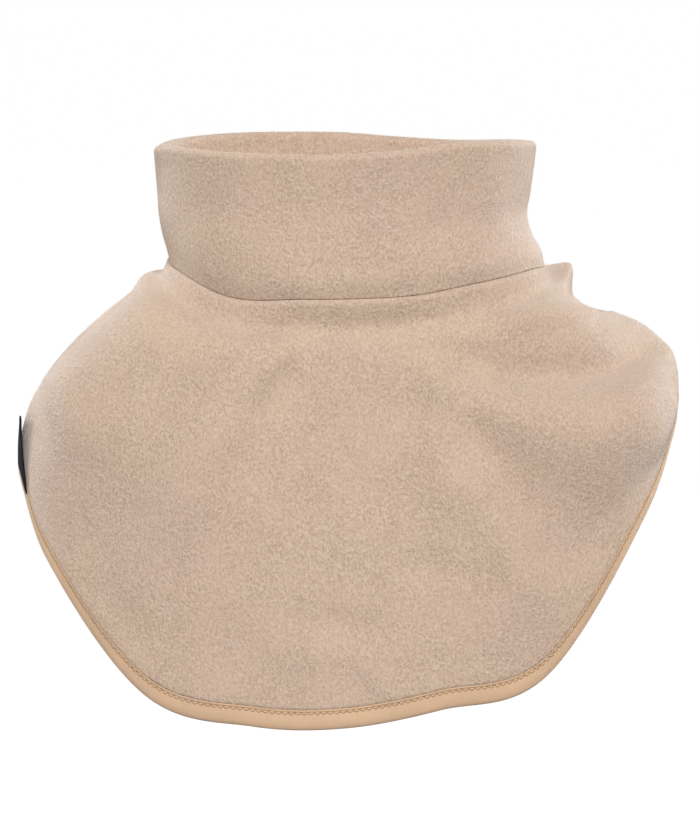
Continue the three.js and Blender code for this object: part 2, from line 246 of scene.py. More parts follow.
# The stage, in metres and watts
LAMPS = (
    ("key", (0.15, -2.55, 1.85), 96.0),
    ("left", (-2.1, 1.4, 0.9), 42.0),
    ("right", (2.1, 1.2, 0.45), 40.0),
)
LAMP_WIDTH = 1.3
LAMP_TARGET = np.array((0, 0, -0.08))
WORLD_STRENGTH = 0.22
FLOOR_HALF_WIDTH = 80.0
FLOOR_GLOW, FLOOR_GLOW_START, FLOOR_GLOW_FULL = 0.9, 1.5, 2.8
CAMERA_TARGET = np.array((0.0015, 0, -0.08))
CAMERA_DISTANCE = 1.6
CAMERA_RISE = math.radians(9.7)
CAMERA_SENSOR = 36
CAMERA_FOCAL_SHARE = 3200 / 840  # focal length in picture heights


# Shapes

def bell(x):
    return np.exp(-x * x)


def smooth(x):
    """Zero up to 0, one from 1, and 3xx - 2xxx between."""
    x = np.clip(x, 0, 1)
    return x * x * (3 - 2 * x)


def cubic(s, a, slope_a, b, slope_b):
    """The cubic from a at s = 0 to b at s = 1 with those slopes: a, plus the rise times 3ss - 2sss, and each
    slope times its own bump."""
    return a + (b - a) * s * s * (3 - 2 * s) + slope_a * s * (1 - s) ** 2 - slope_b * s * s * (1 - s)


def curve(places, values, at):
    """The smooth curve through rows of numbers: a cubic between two rows, whose slope at a row is that of the
    line between the rows beside it."""
    rows = np.arange(len(places))
    before, after = np.maximum(rows - 1, 0), np.minimum(rows + 1, rows[-1])
    slopes = (values[after] - values[before]) / (places[after] - places[before])
    here = np.clip(np.searchsorted(places, at, side="right") - 1, 0, rows[-1] - 1)
    span = places[here + 1] - places[here]
    s = (at - places[here]) / span
    return cubic(s, values[here], span * slopes[here], values[here + 1], span * slopes[here + 1])


def around(column, angle):
    """A column of SECTIONS at any angle, smooth all the way round."""
    angles, values = SECTIONS["angle"], SECTIONS[column]
    angles = np.concatenate([angles[-2:] - 360, angles, angles[:2] + 360])
    return curve(angles, np.concatenate([values[-2:], values, values[:2]]), np.mod(angle, 360))


def point(x, y, z):
    return np.stack(np.broadcast_arrays(x, y, z), -1).astype(float)


def outward(angle):
    turn = np.radians(angle)
    return point(np.sin(turn), -np.cos(turn), 0 * turn)


def falling(angle, fall):
    """The unit vector that goes outward and falls below level by an angle."""
    turn, drop = np.radians(angle), np.radians(fall)
    return point(np.sin(turn) * np.cos(drop), -np.cos(turn) * np.cos(drop), -np.sin(drop))


def unit(vectors):
    return vectors / np.linalg.norm(vectors, axis=-1, keepdims=True)


def collar_face(angle, level):
    """The collar's outer face: at each level a rounded oval, whose distance out is the one at which the
    across and deep shares, each raised to SQUARENESS, add up to one. It rises from the neck to the rim."""
    angle, level = np.broadcast_arrays(np.asarray(angle, float), np.asarray(level, float))
    half_width, half_depth, centre_x, centre_y = (
        curve(COLLAR_RINGS["level"], COLLAR_RINGS[name], np.clip(level, 0, 1))
        for name in ("half_width", "half_depth", "centre_x", "centre_y")
    )
    turn = np.radians(angle)
    across = np.abs(np.sin(turn) / half_width) ** SQUARENESS
    deep = np.abs(np.cos(turn) / half_depth) ** SQUARENESS
    radius = (across + deep) ** (-1 / SQUARENESS)
    neck, rim = around("neck_z", angle), around("rim_z", angle)
    height = neck + (rim - neck) * level
    return point(np.sin(turn) * radius + centre_x, centre_y - np.cos(turn) * radius, height)


def collar_point(angle, level, depth):
    """A point of the collar at a level depth under its outer face."""
    ahead = collar_face(angle + 0.5, level) - collar_face(angle - 0.5, level)
    ahead[..., 2] = 0
    inward = np.cross((0, 0, 1), unit(ahead))
    return collar_face(angle, level) + inward * np.asarray(depth)[..., None]


def yoke_spans(angle):
    """The neck, shoulder and hem points of the yoke at each angle, and the straight spans between them."""
    neck = collar_face(angle, 0)
    out = outward(angle)
    shoulder = out * around("shoulder_r", angle)[..., None]
    shoulder[..., 2] = around("shoulder_z", angle)
    hem = out * around("hem_r", angle)[..., None]
    hem[..., 2] = around("hem_z", angle)
    upper = np.linalg.norm(shoulder - neck, axis=-1)
    lower = np.linalg.norm(hem - shoulder, axis=-1)
    return neck, shoulder, hem, upper, lower


def smooth_yoke(angle, share):
    """The yoke's outer face without folds: a cubic from neck to shoulder and one from shoulder to hem, each
    with the slopes that SECTIONS gives as falls below level."""
    angle, share = np.broadcast_arrays(np.asarray(angle, float), np.asarray(share, float))
    neck, shoulder, hem, upper, lower = yoke_spans(angle)
    way = share * (upper + lower)
    slopes = [falling(angle, around(name, angle)) for name in ("neck_fall", "shoulder_fall", "hem_fall")]
    long_upper, long_lower = upper[..., None], lower[..., None]
    s = way[..., None] / long_upper
    above = cubic(s, neck, slopes[0] * long_upper, shoulder, slopes[1] * long_upper)
    s = (way[..., None] - long_upper) / long_lower
    below = cubic(s, shoulder, slopes[1] * long_lower, hem, slopes[2] * long_lower)
    return np.where(way[..., None] < long_upper, above, below)


def dent_height(dents, angle, along, along_name, reach_name):
    """The sum of leaning bell shapes: each falls off with the angle beside its leaning middle line and with
    the distance along it."""
    total = 0
    for row in zip(*dents.values()):
        dent = dict(zip(dents, row))
        far = (along - dent[along_name]) / dent[reach_name]
        aside = np.mod(angle - dent["angle"] - dent["lean"] * far + 180, 360) - 180
        total = total + dent["height"] * bell(aside / dent["half_angle"]) * bell(far)
    return total


def fold_height(angle, share):
    """The sum of the folds: each is a bell across its middle line, which swings from its neck angle to its
    hem angle with the square root of the share, and grows and fades over its ease."""
    way = np.sqrt(np.clip(share, 0, 1))
    total = 0
    for neck_angle, hem_angle, half_width, start, end, ease, height in zip(*FOLDS.values()):
        middle = neck_angle + (hem_angle - neck_angle) * way
        aside = np.mod(angle - middle + 180, 360) - 180
        grown = smooth((share - start) / ease) * smooth((end - share) / ease)
        total = total + height * bell(aside / half_width) * grown
    return total


def seam_roll_height(share):
    """The lip under the collar seam and the dip under the lip, each a bell in the share down."""
    rolls = sum(h * bell((share - m) / w) for m, w, h in zip(*SEAM_ROLLS.values()))
    return smooth(share / ROLLS_EASE) * rolls


def surface_normal(surface, angle, share):
    """The unit normal away from the body, from small steps round and down."""
    sideways = surface(angle + 0.25, share) - surface(angle - 0.25, share)
    down = surface(angle, share + 0.004) - surface(angle, share - 0.004)
    return unit(np.cross(down, sideways))


def folded_yoke(angle, share, rolls=0):
    """The smooth yoke moved along its normal by its folds and dents."""
    fade = smooth((1 - share) / 0.08) * smooth(share / 0.08)
    height = fold_height(angle, share) + rolls * seam_roll_height(share)
    height = height + fade * dent_height(YOKE_DENTS, angle, share, "share", "half_share")
    return smooth_yoke(angle, share) + surface_normal(smooth_yoke, angle, share) * height[..., None]


def yoke_point(angle, share, depth, rolls=0):
    """A point at a depth under the folded yoke, along its own normal."""
    angle, share, depth = np.broadcast_arrays(*(np.asarray(x, float) for x in (angle, share, depth)))
    normal = surface_normal(folded_yoke, angle, share)
    return folded_yoke(angle, share, rolls) - normal * depth[..., None]


def share_above_hem(angle, distance):
    """The share down the yoke of a place some millimetres above the hem."""
    *_, upper, lower = yoke_spans(angle)
    return 1 - distance / (upper + lower)


def cloth_grain(points, size):
    """A small unevenness from -1 to 1 with about that size, as the product of a few crossed waves."""
    x, y, z = (points[..., k] / size for k in range(3))
    first = np.sin(1.7 * x + 2.3 * y + 0.9 * z + 0.5) * np.sin(2.1 * z - 1.3 * x + 1.9 * y)
    second = np.sin(3.1 * x - 1.1 * z + 0.7 * y + 2) * np.sin(2.7 * y + 3.3 * z + 1.2 * x + 4)
    return 0.6 * first + 0.4 * second


# Meshes

def mesh_piece(name, points, faces, finish):
    """A smooth-shaded object from points in millimetres and four-cornered faces."""
    mesh = bpy.data.meshes.new(name)
    mesh.vertices.add(len(points))
    mesh.vertices.foreach_set("co", (points * MM).astype(np.float32).ravel())
    mesh.loops.add(faces.size)
    mesh.loops.foreach_set("vertex_index", faces.astype(np.int32).ravel())
    mesh.polygons.add(len(faces))
    mesh.polygons.foreach_set("loop_start", np.arange(0, faces.size, 4, dtype=np.int32))
    mesh.update(calc_edges=True)
    mesh.shade_smooth()
    mesh.materials.append(finish)
    piece = bpy.data.objects.new(name, mesh)
    bpy.context.scene.collection.objects.link(piece)
    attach(piece, "root")
    return piece


def ring_faces(columns, rows):
    """Faces of a grid of points that closes on itself both ways, facing out of its closed sections."""
    i, j = np.meshgrid(np.arange(columns), np.arange(rows), indexing="ij")
    i2, j2 = (i + 1) % columns, (j + 1) % rows
    return np.stack([i * rows + j, i * rows + j2, i2 * rows + j2, i2 * rows + j], -1).reshape(-1, 4)


def loop_piece(name, sections, finish):
    """A closed loop of cloth from closed sections, as an array by angle, row and axis."""
    columns, rows = sections.shape[:2]
    return mesh_piece(name, sections.reshape(-1, 3), ring_faces(columns, rows), finish)


def slab_piece(name, outer, inner, finish):
    """A closed slab between two grids of the same size, with a wall round its edge."""
    rows, columns = outer.shape[:2]
    outside = np.arange(rows * columns).reshape(rows, columns)
    inside = outside + rows * columns

    def sheet(grid):
        return np.stack([grid[:-1, :-1], grid[1:, :-1], grid[1:, 1:], grid[:-1, 1:]], -1).reshape(-1, 4)

    def wall(edge, other):
        return np.stack([edge[:-1], edge[1:], other[1:], other[:-1]], -1)

    faces = [
        sheet(outside),
        sheet(inside)[:, ::-1],
        wall(outside[0], inside[0]),
        wall(outside[-1], inside[-1])[:, ::-1],
        wall(outside[:, 0], inside[:, 0])[:, ::-1],
        wall(outside[:, -1], inside[:, -1]),
    ]
    points = np.concatenate([outer.reshape(-1, 3), inner.reshape(-1, 3)])
    return mesh_piece(name, points, np.concatenate(faces), finish)


def thread_piece(name, starts, ends, normals, radius, rise, finish):
    """Many short threads at once: each runs from a start to an end, arches off the cloth as half a sine
    wave less its sunk share, and is a six-sided tube that thins at both closed ends."""
    way = np.array([0, 0.12, 0.35, 0.65, 0.88, 1])
    sunk = 0.35
    girth = radius * np.array([0.5, 0.9, 1, 1, 0.9, 0.5])
    arch = rise * (np.sin(np.pi * way) - sunk)
    middle = starts[:, None] + (ends - starts)[:, None] * way[:, None] + normals[:, None] * arch[:, None]
    beside = unit(np.cross(normals, unit(ends - starts)))
    turn = np.radians(60) * np.arange(6)
    ring = np.cos(turn)[:, None] * beside[:, None] + np.sin(turn)[:, None] * normals[:, None]
    points = middle[:, :, None] + ring[:, None] * girth[:, None, None]
    count, rings, sides = points.shape[:3]
    k, i, j = np.meshgrid(np.arange(count), np.arange(rings - 1), np.arange(sides), indexing="ij")
    base = (k * rings + i) * sides
    j2 = (j + 1) % sides
    tube = np.stack([base + j, base + j2, base + sides + j2, base + sides + j], -1).reshape(-1, 4)
    first = np.arange(count)[:, None] * rings * sides
    last = first + (rings - 1) * sides
    caps = [first + (3, 2, 1, 0), first + (5, 4, 3, 0), last + (0, 1, 2, 3), last + (0, 3, 4, 5)]
    return mesh_piece(name, points.reshape(-1, 3), np.concatenate([tube, *caps]), finish)


# Finishes

class Value:
    """A node's output, so that shader maths is written as Python expressions."""

    def __init__(self, finish, socket):
        self.finish = finish
        self.socket = socket

    def _maths(self, operation, first, second):
        return self.finish.value("ShaderNodeMath", {"operation": operation}, {0: first, 1: second})

    def __add__(self, other):
        return self._maths("ADD", self, other)

    def __radd__(self, other):
        return self._maths("ADD", other, self)

    def __sub__(self, other):
        return self._maths("SUBTRACT", self, other)

    def __rsub__(self, other):
        return self._maths("SUBTRACT", other, self)

    def __mul__(self, other):
        return self._maths("MULTIPLY", self, other)

    def __rmul__(self, other):
        return self._maths("MULTIPLY", other, self)

    def __truediv__(self, other):
        return self._maths("DIVIDE", self, other)

    def __rtruediv__(self, other):
        return self._maths("DIVIDE", other, self)


class Finish:
    """A material being built from nodes."""

    def __init__(self, name):
        self.material = bpy.data.materials.new(name)
        self.material.use_nodes = True
        self.tree = self.material.node_tree
        self.tree.nodes.clear()

    def node(self, kind, settings=None, inputs=None):
        """A new node: its settings first, then each socket's number, colour or link."""
        node = self.tree.nodes.new(kind)
        for name, setting in (settings or {}).items():
            setattr(node, name, setting)
        for name, given in (inputs or {}).items():
            if isinstance(given, Value):
                self.tree.links.new(given.socket, node.inputs[name])
            else:
                node.inputs[name].default_value = given
        return node

    def value(self, kind, settings=None, inputs=None, output=0):
        return Value(self, self.node(kind, settings, inputs).outputs[output])

    def place(self, scale):
        """Object coordinates in millimetres, times a scale along each axis."""
        place = self.value("ShaderNodeTexCoord", output="Object")
        scale = tuple(x / MM for x in scale)
        return self.value("ShaderNodeMapping", inputs={"Vector": place, "Scale": scale})

    def tape_map(self):
        return self.value("ShaderNodeUVMap", {"uv_map": TAPE_MAP})

    def noise(self, place, scale, detail=2, roughness=0.5, distortion=0):
        inputs = {"Vector": place, "Scale": scale, "Detail": detail, "Roughness": roughness}
        return self.value("ShaderNodeTexNoise", inputs={**inputs, "Distortion": distortion})

    def wave(self, place, direction, scale, distortion=0.0, detail=1.0):
        """Soft bands across one axis of a map."""
        settings = {"wave_type": "BANDS", "bands_direction": direction, "wave_profile": "SIN"}
        inputs = {"Vector": place, "Scale": scale, "Distortion": distortion, "Detail": detail}
        return self.value("ShaderNodeTexWave", settings, inputs, "Fac")

    def ramp(self, value, low, high):
        """Even from 0 to 1 while the value goes from low to high."""
        return self.value("ShaderNodeMapRange", inputs={"Value": value, "From Min": low, "From Max": high})

    def step(self, value, low, high, start=0.0, end=1.0):
        """A smooth step from start to end while the value goes from low to high."""
        inputs = {"Value": value, "From Min": low, "From Max": high, "To Min": start, "To Max": end}
        return self.value("ShaderNodeMapRange", {"interpolation_type": "SMOOTHSTEP"}, inputs)

    def mix(self, share, first, second):
        """A colour between two colours."""
        return self.value("ShaderNodeMix", {"data_type": "RGBA"}, {0: share, 6: first, 7: second}, 2)

    def bump(self, height, distance):
        return self.value("ShaderNodeBump", inputs={"Height": height, "Distance": distance})

    def surface(self, inputs):
        """Ends the material with one Principled shader and returns it."""
        shader = self.value("ShaderNodeBsdfPrincipled", inputs=inputs)
        self.node("ShaderNodeOutputMaterial", inputs={"Surface": shader})
        return self.material


def opaque(colour, shade=1.0):
    """A colour with full alpha, times one shade or a shade for each channel."""
    return (*(channel * factor for channel, factor in zip(colour, np.broadcast_to(shade, 3))), 1.0)


def fleece_finish(name, colour, nap_size, nap_height):
    """Short-napped fleece: clumped pills a little longer down the cloth, with painted shade in the darker
    gaps between them, fine fibres on the pills, rougher and smoother places, and a slow drift of tone."""
    finish = Finish(name)
    grain = finish.place((1.15, 1.15, 0.75))
    level = finish.place((1, 1, 1))
    pills = finish.noise(grain, MM / nap_size, 1.0, 0.5, 0.3)
    fibres = finish.noise(grain, 2.3 * MM / nap_size, 2.0, 0.6)
    rough = finish.step(finish.noise(level, 1 / 24), 0.3, 0.7, 0.85, 1.25)
    height = (pills * 0.6 + fibres * 0.4 - 0.5) * rough
    # Share from the gaps between pills, darkened by painted shade, up to the pill tips, by the nap's height
    unshaded_tips = finish.ramp(height, -0.15, 0.17)
    drift = finish.noise(level, 1 / 55, 1.5, 0.5)
    lit = finish.mix(finish.step(drift, 0.3, 0.7), opaque(colour, YELLOWER), opaque(colour, PINKER))
    return finish.surface({
        "Base Color": finish.mix(unshaded_tips, opaque(colour, PILL_GAP_PAINTED_SHADE), lit),
        "Roughness": 0.96,
        "Sheen Weight": 0.6,
        "Sheen Roughness": 0.38,
        "Sheen Tint": (1.0, 0.97, 0.95, 1.0),
        "Specular IOR Level": 0.12,
        "Normal": finish.bump(height, nap_height),
    })


def tape_finish(name, colour):
    """Smooth elastic tape: fine ribs along it, a slow change of tone and a low soft shine."""
    finish = Finish(name)
    level = finish.place((1, 1, 1))
    ribs = finish.wave(finish.tape_map(), "X", 1 / RIB, 0.6)
    drift = finish.noise(level, 1 / 16, 2.0, 0.5)
    speck = finish.noise(level, 2.2, 2.0, 0.6)
    tone = finish.mix(finish.step(drift, 0.35, 0.65), opaque(colour, 0.965), opaque(colour, 1.03))
    base = finish.mix(finish.step(speck, 0.3, 0.7, 0.0, 0.16), tone, opaque(colour, 0.86))
    return finish.surface({
        "Base Color": base,
        "Roughness": finish.step(speck, 0.3, 0.7, 0.5, 0.62),
        "Sheen Weight": 0.1,
        "Specular IOR Level": 0.35,
        "Normal": finish.bump(ribs * 0.7 + speck * 0.3, 0.05 * MM),
    })


def thread_finish(name, colour):
    """Twisted thread: a faint twist of lighter and darker along it."""
    finish = Finish(name)
    twist = finish.noise(finish.place((1, 1, 1)), 3.0, 1.0)
    base = finish.mix(finish.step(twist, 0.35, 0.65), opaque(colour, 0.86), opaque(colour, 1.08))
    return finish.surface({
        "Base Color": base,
        "Roughness": 0.6,
        "Specular IOR Level": 0.3,
        "Normal": finish.bump(twist, 0.06 * MM),
    })


def tab_finish(name, colour):
    """Woven tape: small crossed threads, nearly matt."""
    finish = Finish(name)
    place = finish.tape_map()
    weave = finish.wave(place, "X", 0.55) * finish.wave(place, "Y", 0.75)
    return finish.surface({
        "Base Color": finish.mix(weave, opaque(colour), opaque(colour, 2.2)),
        "Roughness": finish.step(weave, 0, 1, 0.85, 0.7),
        "Specular IOR Level": 0.08,
        "Normal": finish.bump(weave, 0.12 * MM),
    })


def floor_finish(name, colour):
    """A plain matt floor that glows white some way off at the sides and behind, as a lit backdrop does.
    Distances are in metres."""
    finish = Finish(name)
    place = finish.place((MM, MM, 0))
    distance = finish.value("ShaderNodeVectorMath", {"operation": "LENGTH"}, {0: place}, "Value")
    backwards = finish.value("ShaderNodeSeparateXYZ", inputs={0: place}, output="Y") / distance
    far = finish.step(distance, FLOOR_GLOW_START, FLOOR_GLOW_FULL)
    lit = far * finish.step(backwards, -0.4, -0.05)
    return finish.surface({
        "Base Color": opaque(colour),
        "Roughness": 0.9,
        "Emission Color": finish.mix(lit, (0, 0, 0, 1), (1, 1, 1, 1)),
        "Emission Strength": FLOOR_GLOW,
    })


def set_tape_map(piece, u, v):
    """A UV map in about millimetres along and across the piece, one value for each point."""
    layer = piece.data.uv_layers.new(name=TAPE_MAP)
    corners = np.zeros(len(piece.data.loops), np.int32)
    piece.data.loops.foreach_get("vertex_index", corners)
    uv = np.stack([u.ravel()[corners], v.ravel()[corners]], -1)
    layer.data.foreach_set("uv", uv.astype(np.float32).ravel())


# Pieces

def collar_sections(columns):
    """Closed sections of the collar: a strip folded over at the rim, outer face down, round its rolled edge,
    up inside to the fold, down to the inner layer's end, and up the inner face."""
    angle = (np.arange(columns) * 360 / columns)[:, None]
    height = around("rim_z", angle) - around("neck_z", angle)
    radius = COLLAR_THICKNESS / 2
    turn = np.linspace(0, np.pi, 15)
    ones = np.ones_like(height)
    inner_layer = COLLAR_THICKNESS - FLEECE
    fold_inside = height - radius - PRESSED_FLEECE / 2
    between = TURN_UP * height + (fold_inside - TURN_UP * height) * np.linspace(0, 1, 12)
    down = np.concatenate([np.linspace(0.93, 0.08, 40), [0.06, 0.045, 0.03]])
    up = np.linspace(0.02, 0.93, 30)
    parts = [
        (height - radius + radius * np.sin(turn), radius * (1 + np.cos(turn)) * ones),
        (height * down, 0 * height * down),
        (COLLAR_FOOT["height"] * ones, COLLAR_FOOT["depth"] * ones),
        (GAP * ones, FLEECE * ones),
        (between, FLEECE * np.ones_like(between)),
        (between[:, ::-1], inner_layer * np.ones_like(between)),
        (-INNER_LAYER_DROP * ones, inner_layer * ones),
        (-INNER_LAYER_DROP * ones, COLLAR_THICKNESS * ones),
        (height * up, COLLAR_THICKNESS * ones * np.ones_like(up)),
    ]
    z = np.concatenate([part[0] for part in parts], 1)
    depth = np.concatenate([part[1] for part in parts], 1)
    level = z / height
    aside = np.radians(angle - BACK_SEAM_ANGLE) * BACK_SEAM_RADIUS
    seam = GROOVE_DEPTH * bell(aside / GROOVE_HALF_WIDTH)
    seam = seam - WELT_HEIGHT * bell(np.abs(aside / WELT_DISTANCE) - 1)
    outer_face = bell(depth / SKIN) * smooth(z / FOOT_FADE)
    inner_face = bell((depth - COLLAR_THICKNESS) / SKIN) * smooth((z + INNER_LAYER_DROP) / FOOT_FADE)
    dents = dent_height(COLLAR_DENTS, angle, level, "level", "half_level")
    lumps = COLLAR_LUMP_HEIGHT * cloth_grain(collar_face(angle, level), COLLAR_LUMP_SIZE)
    depth = depth + outer_face * (seam - dents - lumps)
    depth = depth - inner_face * (seam - COLLAR_INNER_DENT_SHARE * dents - lumps)
    return collar_point(angle, level, depth)


def yoke_sections(columns):
    """Closed sections of the yoke: outer face down to the binding, which it swells over a little, the pressed
    hem inside it, the inner face up, and the edge that is turned up between the collar's layers."""
    angle = (np.arange(columns) * 360 / columns)[:, None]
    height = around("rim_z", angle) - around("neck_z", angle)
    hem_top = BINDING_WIDTH + HEM_GAP
    top_share = share_above_hem(angle, hem_top)
    outer_rows = np.concatenate([np.linspace(0, 0.15, 22), np.linspace(0.16, 0.985, 78), [0.993, 1, 1.0018]])
    inner_rows = np.concatenate([np.linspace(0.97, 0.17, 24), np.linspace(0.15, 0.03, 13)])
    hem_rows = np.array([1, 0.67, 0.33, 0])
    edge = TAPE + GAP
    hem_share = share_above_hem(angle, edge + (hem_top - edge) * hem_rows)
    swell = SWELL_HEIGHT * bell((outer_rows - SWELL_ROW) / SWELL_HALF_WIDTH) - TUCK_DEPTH * (outer_rows > 1)
    outer_share = outer_rows * top_share
    lumps = YOKE_LUMP_HEIGHT * cloth_grain(smooth_yoke(angle, outer_share), YOKE_LUMP_SIZE)
    lumps = lumps * smooth((1 - outer_rows) / 0.1) * smooth(outer_rows / 0.1)
    flange_outside = FLEECE + GAP
    flange_inside = flange_outside + PRESSED_FLEECE
    flange_top = TURN_UP - GAP / height
    return np.concatenate(
        [
            yoke_point(angle, outer_share, -swell - lumps, 1),
            yoke_point(angle, hem_share, edge),
            yoke_point(angle, hem_share[:, ::-1], FLEECE),
            yoke_point(angle, inner_rows * top_share, FLEECE, 1),
            collar_point(angle, -FLEECE / height, flange_inside + 0 * angle),
            collar_point(angle, flange_top, flange_inside + 0 * angle),
            collar_point(angle, flange_top, flange_outside + 0 * angle),
            collar_point(angle, 0 * angle, flange_outside + 0 * angle),
        ],
        1,
    )


def hem_angles(pitch, steps):
    """Angles evenly spaced along the hem, a whole number of stitches with some steps to each, and the true
    pitch that fits."""
    angle = np.linspace(0, 360, 3601)
    line = yoke_point(angle, share_above_hem(angle, STITCH_FOOT), 0)
    walked = np.concatenate([[0], np.cumsum(np.linalg.norm(np.diff(line, axis=0), axis=1))])
    stitches = round(walked[-1] / pitch)
    even = np.arange(stitches * steps) * walked[-1] / (stitches * steps)
    return np.interp(even, walked, angle), walked[-1] / stitches


def tape_sections(pitch, steps):
    """Closed sections of the hem tape: its folded profile, with a dimple where the needle went in at each
    point of the zigzag."""
    angle, pitch = hem_angles(pitch, steps)
    distance, depth = TAPE_SECTION.T
    along = (np.arange(len(angle)) % steps)[:, None] / steps
    at_top = np.minimum(along, 1 - along) * pitch
    at_foot = np.abs(along - 0.5) * pitch
    outside = depth < OUTER_TAPE_DEPTH
    dimples = sum(
        bell(beside / DIMPLE_HALF_LENGTH) * bell((distance - level) / DIMPLE_HALF_HEIGHT)
        for beside, level in ((at_top, STITCH_TOP), (at_foot, STITCH_FOOT))
    )
    depth = depth + DIMPLE_DEPTH * dimples * outside
    share = share_above_hem(angle[:, None], distance)
    return yoke_point(angle[:, None], share, depth)


def tab_grid(rows, columns, side):
    """One side of the tab: lines from its foot above the binding to its top edge, pushed outward by half a
    sine wave, and thinner towards its edges."""
    up = np.linspace(0, 1, rows)[:, None]
    across = np.linspace(0, 1, columns)[None]
    angle = TAB_FRONT_ANGLE + (TAB_REAR_ANGLE - TAB_FRONT_ANGLE) * across
    foot = yoke_point(angle, share_above_hem(angle, BINDING_WIDTH + HEM_GAP), -HEM_GAP)
    top = TAB_TOP_FRONT + (TAB_TOP_REAR - TAB_TOP_FRONT) * across[..., None]
    edge = np.minimum(1, 6 * np.minimum(across, 1 - across)) * np.minimum(1, 8 * (1 - up) + 0.2)
    round_off = 0.25 + 0.75 * np.sqrt(np.clip(edge * (2 - edge), 0, 1))
    away = TAB_BOW * np.sin(np.pi * up) + TAB_THICKNESS * (0.5 + side * 0.5 * round_off)
    points = foot + (top - foot) * up[..., None]
    return points + outward(angle) * away[..., None]


class WARMER_PG_sizes(bpy.types.PropertyGroup):
    """Sizes that a user would change."""

    nap_size: bpy.props.FloatProperty(
        name="Nap size", description="Width of one pill of the fleece",
        default=1.25 * MM, min=0.3 * MM, max=5 * MM, precision=5, unit="LENGTH", subtype="DISTANCE",
    )
    nap_height: bpy.props.FloatProperty(
        name="Nap height", description="How far the pills stand up",
        default=1.1 * MM, min=0, max=2 * MM, precision=5, unit="LENGTH", subtype="DISTANCE",
    )
    stitch_pitch: bpy.props.FloatProperty(
        name="Stitch pitch", description="Length of one zigzag of the hem stitching",
        default=3.1 * MM, min=1 * MM, max=10 * MM, precision=4, unit="LENGTH", subtype="DISTANCE",
    )
    thread_radius: bpy.props.FloatProperty(
        name="Thread radius", description="Radius of the hem's thread",
        default=0.2 * MM, min=0.05 * MM, max=1 * MM, precision=5, unit="LENGTH", subtype="DISTANCE",
    )
    floor_drop: bpy.props.FloatProperty(
        name="Floor drop", description="How far the floor lies under the lowest point of the hem",
        default=1.0, min=0, max=3, unit="LENGTH", subtype="DISTANCE",
    )


class WARMER_PG_colours(bpy.types.PropertyGroup):
    """Colours that a user would change."""

    fleece: bpy.props.FloatVectorProperty(
        name="Fleece", description="Colour of the fleece's pills", subtype="COLOR", size=3, min=0, max=1,
        default=(0.71, 0.55, 0.435),
    )
    binding: bpy.props.FloatVectorProperty(
        name="Hem tape", description="Colour of the smooth tape round the hem", subtype="COLOR", size=3,
        min=0, max=1, default=(0.71, 0.48, 0.305),
    )
    thread: bpy.props.FloatVectorProperty(
        name="Thread", description="Colour of the zigzag stitches", subtype="COLOR", size=3, min=0, max=1,
        default=(0.4, 0.24, 0.14),
    )
    tab: bpy.props.FloatVectorProperty(
        name="Tab", description="Colour of the woven side tab", subtype="COLOR", size=3, min=0, max=1,
        default=(0.008, 0.009, 0.011),
    )
    floor: bpy.props.FloatVectorProperty(
        name="Floor", description="Colour of the floor", subtype="COLOR", size=3, min=0, max=1,
        default=(0.4, 0.4, 0.4),
    )


class WARMER_OT_hem(bpy.types.Operator):
    """Make the hem tape and its zigzag stitches"""

    bl_idname = "warmer.hem"
    bl_label = "Make hem"

    def execute(self, context):
        sizes, colours = context.scene.warmer_sizes, context.scene.warmer_colours
        pitch = sizes.stitch_pitch / MM
        sections = tape_sections(pitch, STITCH_STEPS)
        tape = loop_piece("hem_tape", sections, tape_finish("hem_tape", colours.binding))
        column, row = np.indices(sections.shape[:2])
        set_tape_map(tape, column * TAPE_MAP_STEP, row)
        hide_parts("hem_binding")
        self.make_stitches(pitch, sizes.thread_radius / MM, colours.thread)
        return {"FINISHED"}

    def make_stitches(self, pitch, radius, colour):
        """Threads from each upper point of the zigzag to the next lower one, and on to the next upper one."""
        angle, _ = hem_angles(pitch, 2)
        tops, feet = angle[::2], angle[1::2]

        def hole(at, distance):
            return yoke_point(at, share_above_hem(at, distance), NEEDLE_DEPTH)

        top, foot = hole(tops, STITCH_TOP), hole(feet, STITCH_FOOT)
        starts = np.concatenate([top, foot])
        ends = np.concatenate([foot, np.roll(top, -1, 0)])
        at = np.concatenate([tops, feet])
        normals = surface_normal(folded_yoke, at, share_above_hem(at, (STITCH_TOP + STITCH_FOOT) / 2))
        finish = thread_finish("hem_thread", colour)
        stitches = thread_piece("hem_stitches", starts, ends, normals, radius, STITCH_ARCH, finish)


class WARMER_OT_tab(bpy.types.Operator):
    """Make the woven side tab"""

    bl_idname = "warmer.tab"
    bl_label = "Make side tab"

    def execute(self, context):
        colours = context.scene.warmer_colours
        rows, columns = 33, 25
        outer, inner = tab_grid(rows, columns, 1), tab_grid(rows, columns, -1)
        tab = slab_piece("woven_tab", outer, inner, tab_finish("woven_tab", colours.tab))
        up = np.linspace(0, TAB_HEIGHT, rows)
        across = np.linspace(0, TAB_WIDTH, columns)
        up, across = np.meshgrid(up, across, indexing="ij")
        set_tape_map(tab, np.stack([across, across]), np.stack([up, up]))
        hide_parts("side_tab")
        return {"FINISHED"}


class WARMER_OT_yoke(bpy.types.Operator):
    """Make the yoke with its front and back bibs, the cloth that carries the hem and the tab"""

    bl_idname = "warmer.yoke"
    bl_label = "Make yoke"

    def execute(self, context):
        sizes, colours = context.scene.warmer_sizes, context.scene.warmer_colours
        finish = fleece_finish("yoke_fleece", colours.fleece, sizes.nap_size, sizes.nap_height)
        piece = loop_piece("fleece_yoke", yoke_sections(YOKE_COLUMNS), finish)
        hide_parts("yoke")
        return {"FINISHED"}


